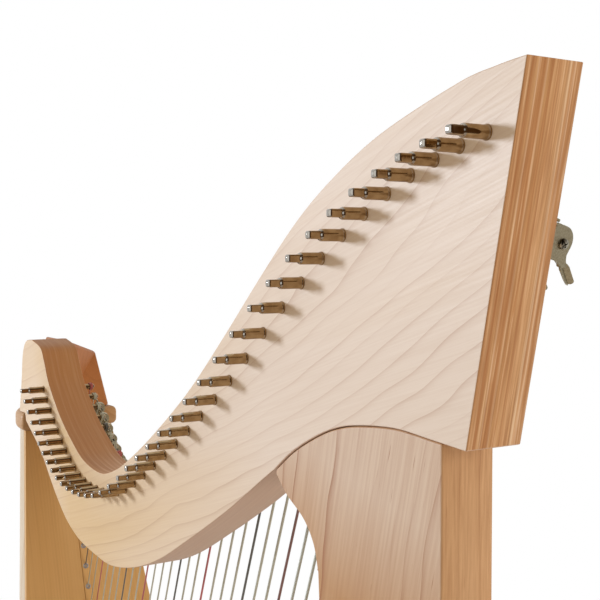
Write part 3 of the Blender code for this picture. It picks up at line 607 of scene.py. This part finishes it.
# %% Neck pieces
NECK_TOP = [(-61, 1345), (-40, 1343), (-10, 1338), (55, 1318.5), (103.5, 1296),
            (144, 1271), (190, 1234.5), (241, 1191.5), (299, 1145.5), (365.5, 1102),
            (415, 1074), (444, 1061), (476, 1053.5), (518, 1058.5), (549.5, 1073),
            (575.5, 1088.5), (597, 1106), (614, 1123), (626, 1142), (637, 1155.5),
            (664, 1162)]
NECK_BACK = [(664, 1162), (684, 1159), (695, 1145), (700, 1116), (707, 1084)]
NECK_HEEL = [(707, 1081.3), (688.8, 1081.3), (686.3, 1073.5)]
NECK_BOTTOM = [(686.3, 1073.5), (670, 1065), (653, 1056), (631, 1041.5), (609, 1023),
               (587.5, 1006.5), (562.5, 991), (530, 980), (487.5, 975), (450, 974.5),
               (400, 985.5), (350.5, 1004.5), (292.5, 1035.3), (262, 1052.3), (231, 1070.3),
               (203.5, 1087.5), (185, 1099.3), (170, 1108.5)]
NECK_ARC = [(170, 1108.5), (148.5, 1123.5), (124.5, 1136), (102, 1145), (78, 1150.5),
            (41, 1154), (9, 1152.3), (-19.7, 1150.3)]


def in_place(points):
    """Outline points in millimetres from the pillar's front face, in the model's frame."""
    return [(y * MM - MID_Y, z * MM) for y, z in points]


neck_arc = smooth(NECK_ARC, 8)
neck_line = smooth(NECK_TOP, 8) + smooth(NECK_BACK, 6)[1:] + NECK_HEEL
neck_line += smooth(NECK_BOTTOM, 8)[1:] + neck_arc[1:]
neck_line = eased(in_place(neck_line), 1.2 * MM)
veneer = 0.8 * MM
neck_parts = {
    "neck_face_pin_side": (rounded(neck_near, neck_near + veneer, 0.7 * MM, 0),
                           face_maple, "maple"),
    "neck_core": (rounded(neck_near + veneer, neck_far - veneer, 0, 0), neck_edge, "neck_ply"),
    "neck_face_string_side": (rounded(neck_far - veneer, neck_far, 0, 0.7 * MM),
                              face_maple, "maple")}
for name, (rings, finish, slot) in neck_parts.items():
    shape = bmesh.new()
    board(shape, neck_line, rings, side_on)
    sheet = put("visual_" + name, shape, finish, [name])
    sheet.data.materials.append(neck_edge)
    for face in sheet.data.polygons:
        face.material_index = int(abs(face.normal.x) < 0.9)
print("neck outline:", len(neck_line), "points")

# %% [markdown]
# ## The pillar
# The pillar is one solid board, thinner than the neck by less than a millimetre on each side.
# Its head fills the round cut under the neck and its back edge swells into a knee there.

# %% Pillar
PILLAR_EDGE = [(118, 1041), (119.5, 1055), (124.5, 1070), (136, 1083), (156, 1094.5),
               (169, 1106)]
PILLAR_FOOT = [(156, 0), (136, 26), (116, 80), (103, 200), (98, 420), (103, 680), (112, 860)]
base_top = 78 * MM
pillar_gap = 0.5
pillar_set_back = 0.8 * MM


def arc_height(y):
    for (y0, z0), (y1, z1) in zip(neck_arc, neck_arc[1:]):
        if y1 <= y <= y0:
            return z0 + (z1 - z0) * (y - y0) / (y1 - y0)


foot = [(y, z + base_top / MM + 0.3) for y, z in PILLAR_FOOT]
pillar_line = smooth(foot + PILLAR_EDGE, 8)
head = [(168.5, arc_height(168.5))]
head += [point for point in neck_arc if 1 < point[0] < 167] + [(0, arc_height(0))]
pillar_line += [(y, z - pillar_gap) for y, z in head]
pillar_line = eased(in_place([(0, foot[0][1])] + pillar_line), 1.5 * MM)
shape = bmesh.new()
board(shape, pillar_line, rounded(neck_near + pillar_set_back, neck_far - pillar_set_back,
                                  1.3 * MM, 1.3 * MM), side_on)
pillar = put("visual_pillar", shape, pillar_maple, ["pillar"])
pillar.data.materials.append(pillar_side_maple)
for face in pillar.data.polygons:
    face.material_index = int(abs(face.normal.x) > 0.8)
print("pillar outline:", len(pillar_line), "points")

# %% [markdown]
# ## Where the strings run
# Each lever turns on a joint, and the joint's place gives the place of its string: the string
# lies at X = 0, a fixed step across from the pivot, and leans to the pillar's side by 20.6
# degrees. It ends at a tuning pin above and at the soundboard below. Working this out from the
# joints keeps every string, pin and lever together.

# %% String layout
RED, DARK = (1, 8, 15, 22, 29, 36), (5, 12, 19, 26, 33)
FIRST_BASS_PIN, FIRST_WOUND = 20, 29
BOARD_FOOT = 385.4 * MM
STRING_STEP = 9.5 * MM
PIN_WAIST = 0.84
lean_slope = math.tan(math.radians(BOARD_LEAN))


def board_front(z):
    return BOARD_FOOT + (z - base_top) * lean_slope - MID_Y


layout = {}
for joint in frame["joints"]:
    number = int(joint["name"].split("_")[1])
    pivot = Vector(joint["pos_m"])
    size = pivot.x / (16.5 * MM)
    line = Vector((0, pivot.y, pivot.z)) + string_across * STRING_STEP * size
    gap = line.y - board_front(line.z)
    foot = line - string_line * (gap / (string_line.y - lean_slope * string_line.z))
    # The lever stands 22.5 mm and 2.7 % of the string's length below the string's upper end.
    top = foot + string_line * (((line - foot).length + 22.5 * MM) / 0.973)
    thick = (0.45 + 0.8 * (number - 1) / 37) * MM
    pin_radius, pin_out = (3.7, 25.4) if number >= FIRST_BASS_PIN else (3.3, 24.5)
    wrap = (PIN_WAIST * pin_radius + 0.3) * MM + thick
    layout[number] = SimpleNamespace(
        pivot=pivot, size=size, foot=foot, top=top, thick=thick, pin_radius=pin_radius,
        pin_out=pin_out, wrap=wrap, pin=top - string_across * wrap)
lengths = [round((s.top - s.foot).length, 3) for s in layout.values()]
print(len(layout), "strings, from", max(lengths), "to", min(lengths), "m")

# %% [markdown]
# ## Tuning pins
# A tuning pin goes right through the neck. On this side it has a round body with a small flare
# where it meets the wood, a turned shoulder, and a square end with rounded corners for the
# tuning key. One row of sections, each a circle or a rounded square, is skinned into a pin.

# %% Tuning pins
def section(sides, half, square=0):
    """A circle at square = 0, and a square with rounded corners as square nears 1."""
    power = 2 + 5 * square
    found = []
    for i in range(sides):
        c, s = math.cos(math.tau * i / sides), math.sin(math.tau * i / sides)
        r = half / (abs(c) ** power + abs(s) ** power) ** (1 / power)
        found.append((r * c, r * s))
    return found


def skin(shape, sections, matrix, sides=32):
    """Skins sections into a closed solid.

    A section has its height and half width in millimetres, and its squareness if it has any.
    """
    loops = [[shape.verts.new(matrix @ (Vector((x, y, height)) * MM))
              for x, y in section(sides, half, *square)] for height, half, *square in sections]
    bridge(shape, loops)
    shape.faces.new(loops[0][::-1])
    shape.faces.new(loops[-1])


def pin_sections(r, out):
    """A tuning pin from the strings' side to its square end, by its radius and reach."""
    inner, shoulder, s, k = -54, out * 0.63, r * PIN_WAIST, r / 3.7
    tip = 2.45 * k
    return [(inner, s * 0.7), (inner + 0.5, s * 0.95), (inner + 1.2, s), (-1, s),
            (0, r * 1.12), (0.5, r * 1.14), (1.1, r * 1.08), (1.9, r), (shoulder - 0.9, r),
            (shoulder - 0.2, r * 0.95), (shoulder + 0.4, r * 0.85),
            (shoulder + 0.9, r * 0.73, 0.2), (shoulder + 1.1, tip * 1.04, 0.8),
            (shoulder + 1.5, tip, 1), (out - 2.0 * k, tip, 1), (out - 1.1 * k, tip * 0.95, 0.85),
            (out - 0.5 * k, tip * 0.8, 0.6), (out - 0.15, tip * 0.58, 0.4), (out, tip * 0.3, 0.2)]


outward = axes((0, 0, 1), (0, 1, 0), (-1, 0, 0))
shape = bmesh.new()
for s in layout.values():
    skin(shape, pin_sections(s.pin_radius, s.pin_out),
         Matrix.Translation((neck_near, s.pin.y, s.pin.z)) @ outward)
put("visual_tuning_pins", shape, pin_nickel, ["tuning_pins"])
print("tuning pins:", len(layout))

# %% [markdown]
# ## Strings
# A string comes up from an eyelet in the soundboard, passes its bridge pin, reaches its tuning
# pin and winds round it about three times towards the neck before it goes into the pin's hole.
# A curve with a round bevel is the natural way to draw it, and one curve object can hold all
# strings of one finish, each with its own thickness.

# %% Strings
def string_path(s):
    """Points from under the eyelet, up the string and round the tuning pin."""
    points = [s.foot - string_line * 4 * MM] + [s.foot.lerp(s.top, i / 6) for i in range(7)]
    turns, steps = 3.3, 76
    for i in range(1, steps + 1):
        turned = turns * i / steps
        angle = math.tau * turned
        round_pin = string_across * math.cos(angle) + string_line * math.sin(angle)
        points.append(s.pin + round_pin * s.wrap + Vector((-2.1 * s.thick * turned, 0, 0)))
    return points + [points[-1].lerp(Vector((points[-1].x, s.pin.y, s.pin.z)), 0.6)]


def string_set(name, numbers, finish):
    curve = bpy.data.curves.new(name, "CURVE")
    curve.dimensions = "3D"
    curve.bevel_depth = 1.0
    curve.bevel_resolution = 3
    curve.use_fill_caps = True
    for number in numbers:
        path = string_path(layout[number])
        spline = curve.splines.new("POLY")
        spline.points.add(len(path) - 1)
        for point, spot in zip(spline.points, path):
            point.co = (*spot, 1)
            point.radius = layout[number].thick
        spline.use_smooth = True
    return put(name, curve, finish, ["strings"])


white_notes = [n for n in layout if n not in RED + DARK]
plain = [n for n in white_notes if n < FIRST_WOUND]
wound = [n for n in white_notes if n >= FIRST_WOUND]
string_set("strings_plain", plain, plain_gut)
string_set("strings_red", [n for n in RED if n < FIRST_WOUND], red_gut)
string_set("strings_red_bass", [n for n in RED if n >= FIRST_WOUND], red_wound)
string_set("strings_dark", DARK, dark_gut)
string_set("strings_wound", wound, wound_wire)
print("plain", len(plain), "red", len(RED), "dark", len(DARK), "wound", len(wound))

# %% [markdown]
# ## Bridge pins and eyelets
# A small pin in the neck's far face sets where each string starts to sound. At the soundboard
# each string goes through a metal eyelet, which keeps it from cutting into the wooden rib.

# %% Bridge pins, eyelets and rib
BRIDGE_PIN = [(-1, 1), (0, 1), (0.2, 1.5), (0.7, 1.5), (1, 1), (15.5, 1), (15.85, 0.8), (16, 0.4)]
shape = bmesh.new()
for s in layout.values():
    beside = s.top - string_line * 14 * MM + string_across * (s.thick + 1.3 * MM)
    skin(shape, BRIDGE_PIN, Matrix.Translation((neck_far, beside.y, beside.z))
         @ Matrix.Rotation(math.pi / 2, 4, "Y"), 14)
put("bridge_pins", shape, bridge_nickel, ["neck_face_string_side"])

flat_to_board = axes((-1, 0, 0), -board_up, -board_in)
rib_proud = 0.9 * MM
EYELET = [(0.9, -0.6), (0.9, 0.5), (1.5, 0.9), (2.3, 0.9), (2.9, 0.5), (3.0, -0.1)]
shape = bmesh.new()
for s in layout.values():
    place = Matrix.Translation(s.foot - board_in * rib_proud) @ flat_to_board
    loops = [[shape.verts.new(place @ (Vector((x, y, high)) * MM))
              for x, y in section(20, radius)] for radius, high in EYELET]
    bridge(shape, loops[::-1])
put("string_eyelets", shape, eyelet_zinc)

rib_low, rib_high = base_top + 2 * MM, 1057 * MM
rib_foot = Vector((0, board_front(rib_low), rib_low))
rib_length = (rib_high - rib_low) / board_up.z
rib_shape = [(-4 * MM, 8 * MM), (-4 * MM, -rib_proud), (4 * MM, -rib_proud), (4 * MM, 8 * MM)]
shape = bmesh.new()
board(shape, eased(rib_shape, 0.6 * MM), [(0, 0), (rib_length, 0)],
      Matrix.Translation(rib_foot) @ axes((1, 0, 0), board_in, board_up))
put("string_rib", shape, sound_wood, ["strings"])
print("rib:", round(rib_length, 3), "m long")

# %% [markdown]
# ## Sharping levers
# A lever turns on a screw beside its string. When it is flipped up, its stud presses the string
# and raises the note by a half step. The body is a cast disc, and its thumb grip is folded
# from the same metal, so the grip has two wings with a valley between them.

# %% Levers
LEVER_DISC, LEVER_RADIUS = (-2.9, 0.6), 9.9
lever_thick = 2.4 * MM
lever_turn = math.radians(65)
GRIP_FOLD = [(4.4, -11.6), (14.4, -24.0)]
LEFT_WING = [(4.4, -11.6), (2.4, -13.2), (2.9, -14.8), (5.3, -17.4), (8.9, -21.3),
             (12.4, -24.2), (13.7, -24.6), (14.4, -24.0)]
RIGHT_WING = GRIP_FOLD + [(15.7, -23.8), (16.5, -22.8), (16.3, -21.6), (9.4, -13.0),
                          (7.3, -11.3)]


def lever_outline():
    """The disc, its low nose and the root of its grip, in millimetres from the pivot."""
    disc = (*LEVER_DISC, LEVER_RADIUS, LEVER_RADIUS)
    nose = [(-3.6, 10.9), (-5.6, 11.6), (-8.0, 11.3), (-8.6, 9.8)]
    root = [(-1.0, -10.1), (1.8, -12.2), (2.6, -13.9), (8.2, -13.9), (5.9, -9.3), (5.3, -6.4)]
    return arc(*disc, -22, 82, 16) + nose + arc(*disc, 128, 262, 20) + root


def fold_height(x, y):
    """The grip's height over the disc's middle plane: it rises on both sides of the fold."""
    (ax, ay), (bx, by) = GRIP_FOLD
    run = math.hypot(bx - ax, by - ay)
    return abs((x - ax) * (by - ay) - (y - ay) * (bx - ax)) / run * 0.6 - 0.5


def add_wing(shape, points, size):
    low, top = ([shape.verts.new(Vector((x * size, y * size, fold_height(x, y) + lift)) * MM)
                 for x, y in points] for lift in (-0.7, 0.6))
    shape.faces.new(top)
    shape.faces.new(low[::-1])
    bridge(shape, (low, top))


def lever_shape(s):
    shape = bmesh.new()
    outline = [(x * MM * s.size, y * MM * s.size) for x, y in lever_outline()]
    board(shape, eased(outline, 0.8 * MM, 30), [(-lever_thick / 2, 0), (lever_thick / 2, 0)])
    for wing in (LEFT_WING, RIGHT_WING):
        add_wing(shape, wing, s.size)
    angle = math.pi - lever_turn
    reach = s.pivot.x - s.thick - 1.2 * MM
    far = STRING_STEP * s.size + 1.4 * MM
    stud = Matrix.Translation((reach * math.cos(angle), reach * math.sin(angle), -far))
    skin(shape, [(0, 0.6), (0.25, 0.9), (far / MM - 0.6, 0.9)], stud, 14)
    return shape


lever_axes = axes((1, 0, 0), string_line, -string_across)
for number, s in layout.items():
    node = f"lever_{number:02d}"
    lever = put("visual_" + node, lever_shape(s), lever_nickel, [node],
                node + "_body", Matrix.Translation(s.pivot) @ lever_axes)
    rim = lever.modifiers.new("filed_edges", "BEVEL")
    rim.width, rim.segments, rim.limit_method = 0.35 * MM, 2, "ANGLE"
    rim.angle_limit, rim.harden_normals = math.radians(40), True
print("levers:", len(layout))

# %% [markdown]
# Each lever is held by a bracket: a foot screwed to the neck and an ear that carries the pivot
# screw. The ear is cut away above its arm, so that the lever's stud can swing past it to the
# string. The screw heads are one turned shape with a cross cut out of it, copied to each place.

# %% Brackets and screws
def turned_head(radius, high, slot_wide):
    """A domed screw head with a cross recess, standing on its local XY plane."""
    shape = bmesh.new()
    skin(shape, [(-0.4 * high, radius * 0.9), (0, radius), (0.45 * high, radius),
                 (0.75 * high, radius * 0.93), (0.93 * high, radius * 0.78),
                 (high, radius * 0.5)], Matrix(), 28)
    cross = bmesh.new()
    for turn in (0, math.pi / 2):
        bmesh.ops.create_cube(cross, size=MM, matrix=Matrix.Rotation(turn, 4, "Z")
                              @ Matrix.Translation((0, 0, high * MM))
                              @ Matrix.Diagonal((radius * 1.25, slot_wide, high * 1.1, 1)))
    return cut_out("head", shape, cross, 35, True)


ear_line = [(-6.0, -8.5), (0.0, -4.5), (2.8, -4.1), (4.1, -2.2), (4.3, 0.0), (3.9, 2.4),
            (2.2, 4.1), (-3.5, 4.0), (-8.5, -2.4)]
pivot_head = turned_head(3.1, 1.4, 0.75)
small_head = turned_head(1.7, 0.8, 0.45)
brackets, screws, pivots = bmesh.new(), bmesh.new(), bmesh.new()
for s in layout.values():
    size = s.size
    place = Matrix.Translation(s.pivot) @ lever_axes
    foot_x = neck_far - s.pivot.x
    head = [(x * MM * size, y * MM * size) for x, y in ear_line]
    head += [(foot_x, -2.4 * MM * size), (foot_x, -8.5 * MM * size)]
    board(brackets, eased(head, 1.2 * MM, 30),
          rounded(-3.3 * MM, -1.5 * MM, 0.3 * MM, 0.3 * MM, 2), place)
    flange = Matrix.Translation((neck_far, s.pivot.y, s.pivot.z)) @ axes(
        string_across, string_line, (1, 0, 0))
    wide, tall = 8.0 * MM * size, 8.2 * MM * size
    sheet = [(1.5 * MM, -tall), (wide, -tall), (wide, tall * 0.75), (1.5 * MM, tall * 0.75)]
    board(brackets, eased(sheet, 1.5 * MM), rounded(0, 1.5 * MM, 0, 0.35 * MM, 2), flange)
    for spot in (-0.62, 0.4):
        copy = small_head.copy()
        copy.transform(flange @ Matrix.Translation((wide * 0.62, tall * spot, 1.5 * MM))
                       @ Matrix.Scale(size, 4))
        screws.from_mesh(copy)
    copy = pivot_head.copy()
    copy.transform(place @ Matrix.Translation((0, 0, lever_thick / 2 + 0.3 * MM))
                   @ Matrix.Rotation(0.5, 4, "Z") @ Matrix.Diagonal((size, size, 1, 1)))
    pivots.from_mesh(copy)
put("lever_brackets", finished(brackets, "lever_brackets", 30), lever_nickel,
    ["neck_face_string_side"])
for name, heads, finish in (("bracket_screws", screws, screw_steel),
                            ("pivot_screws", pivots, pivot_black)):
    screw_mesh = bpy.data.meshes.new(name)
    heads.to_mesh(screw_mesh)
    heads.free()
    put(name, screw_mesh, finish, ["neck_face_string_side"])
print("screws: 3 for each of", len(layout), "levers")

# %% [markdown]
# ## Soundbox
# The soundboard leans back from its foot, and a shell of bent staves closes the box behind it.
# Four round holes in the back let the sound out and let a hand in to fit the strings. The model
# already has the two halves of the soundboard, so those keep their shape and get their wood.

# %% Soundbox shell
cap_low = 1061 * MM
shell_wall = 8 * MM
shell_start = 5 * MM / board_up.z + 0.3 * MM


def tapered(foot, top, z):
    """A size in millimetres that goes from foot to top between the base and the cap."""
    return (foot + (top - foot) * (z - base_top) / (cap_low - base_top)) * MM


def half_width(z):
    return tapered(155, 49.5, z)


def depth(z):
    return tapered(200, 64, z)


def bowl(z, gap):
    return [(*point, z) for point in arc(0, board_front(z) + shell_start, half_width(z) - gap,
                                         depth(z) - gap, 0, 180, 44)]


shape = bmesh.new()
levels = [base_top + 0.3 * MM + (cap_low - base_top - 0.6 * MM) * i / 10 for i in range(11)]
loops = [[shape.verts.new(point) for point in bowl(z, 0) + bowl(z, shell_wall)[::-1]]
         for z in levels]
bridge(shape, loops)
for loop in (loops[0], loops[-1]):
    for i in range(len(loop) // 2 - 1):
        shape.faces.new((loop[i], loop[i + 1], loop[-2 - i], loop[-1 - i]))
bmesh.ops.recalc_face_normals(shape, faces=shape.faces)
holes = bmesh.new()
for share, radius in ((0.16, 50), (0.36, 46), (0.56, 38), (0.76, 28)):
    z = base_top + share * (cap_low - base_top)
    back = board_front(z) + shell_start + depth(z)
    bmesh.ops.create_cone(holes, cap_ends=True, segments=64, radius1=radius * MM,
                          radius2=radius * MM, depth=64 * MM,
                          matrix=Matrix.Translation((0, back, z))
                          @ Matrix.Rotation(math.pi / 2, 4, "X"))
shell_mesh = cut_out("shell", shape, holes, 40)
put("visual_soundbox_shell", shell_mesh, shell_maple, ["soundbox_shell"])
print("shell faces:", len(shell_mesh.polygons))

# %% [markdown]
# ## Cap, head block, base and feet
# The cap closes the box with a rounded lip, and the block beside the neck's end ties the neck
# to it. The base board is a round-ended plank, and the harp stands on four moulded rubber feet.

# %% Cap, base and feet
lip = 5 * MM
cap_line = arc(0, board_front(cap_low) + shell_start, half_width(cap_low) + lip,
               depth(cap_low) + lip, 0, 180, 48)
cap_line += [(side * (half_width(cap_low) + lip), board_front(cap_low) - lip)
             for side in (-1, 1)]
shape = bmesh.new()
board(shape, eased(cap_line, 4 * MM), rounded(cap_low, cap_low + 20 * MM, 6 * MM, 6 * MM, 5))
put("visual_soundbox_cap", shape, base_maple, ["soundbox_cap"])

BASE_HALF, BASE_FRONT_HALF = 169, 84
base_line = arc(0, BOARD_FOOT + shell_start - MID_Y, BASE_HALF * MM, 214 * MM, 0, 180, 64)
waist = BASE_FRONT_HALF + (BASE_HALF - BASE_FRONT_HALF) * 0.45
side = [(-waist, BOARD_FOOT * 0.55 / MM), (-BASE_FRONT_HALF, -10), (-67.2, -26)]
side += [(-x, y) for x, y in reversed(side)]
base_line += [(x * MM, y * MM - MID_Y) for x, y in side]
shape = bmesh.new()
board(shape, eased(base_line, 9 * MM, 8, 5), rounded(44 * MM, base_top, 4 * MM, 6 * MM, 4))
put("visual_base_board", shape, base_maple, ["base_board"])

FOOT_PROFILE = [(0, 16), (0.6, 17.4), (2, 18), (12, 19), (30, 20.6), (38, 21.4), (40, 21.2),
                (40.6, 20.9), (41.2, 21.3), (43, 22), (43.7, 22)]
feet = {"foot_front_left": (-50, 20), "foot_front_right": (50, 20),
        "foot_rear_left": (-100, 500.4), "foot_rear_right": (100, 500.4)}
for name, (x, y) in feet.items():
    shape = bmesh.new()
    skin(shape, FOOT_PROFILE, Matrix.Translation((x * MM, y * MM - MID_Y, 0)), 48)
    put("visual_" + name, shape, rubber, [name])

carried = {"soundboard_left": sound_wood, "soundboard_right": sound_wood,
           "brace_lower": block_maple, "brace_upper": block_maple, "neck_dowel": block_maple,
           "head_block": block_maple, "pillar_bolt": screw_steel}
for name, finish in carried.items():
    frame["nodes"][name].material_slots[0].material = finish
print("model nodes that keep their shape:", ", ".join(carried))
